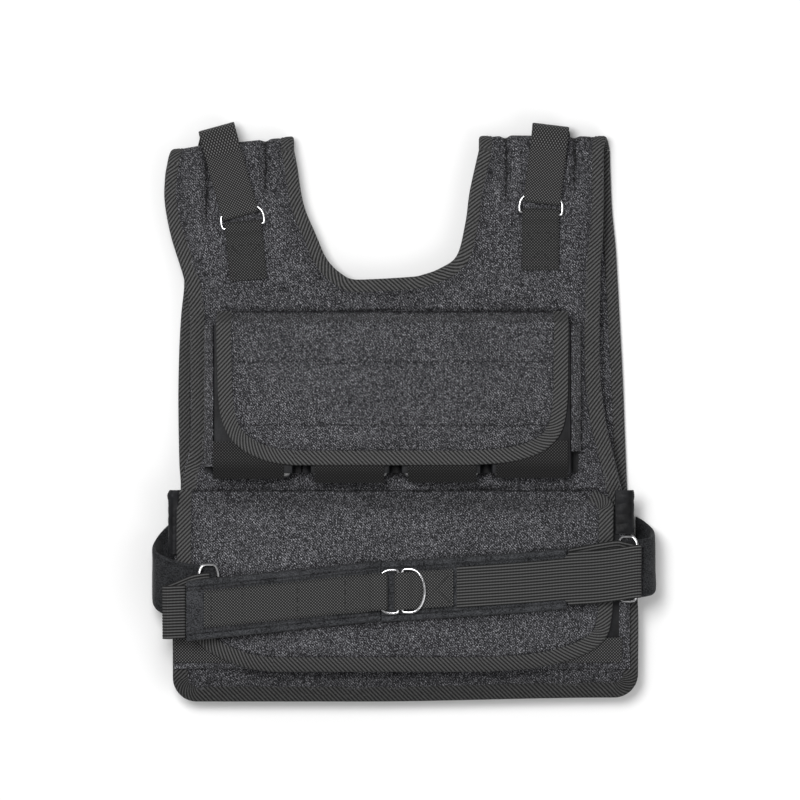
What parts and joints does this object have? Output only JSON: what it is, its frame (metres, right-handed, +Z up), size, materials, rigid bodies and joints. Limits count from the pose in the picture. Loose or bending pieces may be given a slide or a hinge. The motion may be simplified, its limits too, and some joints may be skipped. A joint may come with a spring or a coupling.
{
  "type": "weighted vest",
  "caption": "Padded weighted vest lying flat: chest pocket with iron bars under a flap, wide lower pocket, side wings and a ring-fastened waist belt.",
  "frame": {"origin": "middle of the vest's box on the surface that its back panel lies on", "axes": "+X to the wearer's left, which is the picture's right, +Y towards the shoulders, +Z up from the surface, out of the front panel"},
  "size_m": [0.5034, 0.5788, 0.0789],
  "materials": {
    "denim": "charcoal heather twill with pale flecks, matt",
    "binding_tape": "black twill tape with slanted ribs",
    "webbing": "black woven webbing with a dotted basket weave",
    "nylon": "thin black nylon, slight sheen",
    "belt_cloth": "smooth brushed black knit over foam",
    "ribbed_elastic": "charcoal elastic with fine ribs along its length",
    "weight_iron": "black enamelled iron, glossy",
    "ring_metal": "bright nickel plate"
  },
  "bodies": {
    "vest": {"front_panel": "denim", "back_panel": "denim", "front_edge_binding": "binding_tape", "back_edge_binding": "binding_tape", "neck_binding": "binding_tape", "upper_flap": "denim", "upper_flap_binding": "binding_tape", "lower_flap": "denim", "lower_flap_binding": "binding_tape", "weight_bar_1": "weight_iron", "weight_bar_2": "weight_iron", "weight_bar_3": "weight_iron", "weight_bar_4": "weight_iron", "upper_pouch_1": "nylon", "upper_pouch_2": "nylon", "upper_pouch_3": "nylon", "upper_pouch_4": "nylon", "pouch_band_1": "webbing", "pouch_band_2": "webbing", "pouch_band_3": "webbing", "pouch_band_4": "webbing", "upper_gusset_left": "denim", "upper_gusset_right": "denim", "lower_pocket": "denim", "lower_pocket_band": "webbing", "side_gather_left": "nylon", "side_gather_right": "nylon", "wing_left": "belt_cloth", "wing_right": "belt_cloth", "side_ring_left": "ring_metal", "side_ring_right": "ring_metal", "elastic_left": "ribbed_elastic", "elastic_right": "ribbed_elastic", "belt_band_left": "belt_cloth", "belt_band_right": "belt_cloth", "belt_strap": "webbing", "belt_keeper": "webbing", "belt_ring_left": "ring_metal", "shoulder_strap_left": "webbing", "shoulder_keeper_left": "webbing", "shoulder_ring_left": "ring_metal", "shoulder_strap_right": "webbing", "shoulder_keeper_right": "webbing", "shoulder_ring_right": "ring_metal"},
    "free_ring": {"belt_ring_free": "ring_metal"}
  },
  "joints": [
    {"name": "ring_swing", "type": "hinge", "parent": "vest", "child": "free_ring", "pos_m": [-0.00151, -0.17696, 0.0713], "axis": [0, -1, 0], "range_deg": [0, 110]}
  ]
}
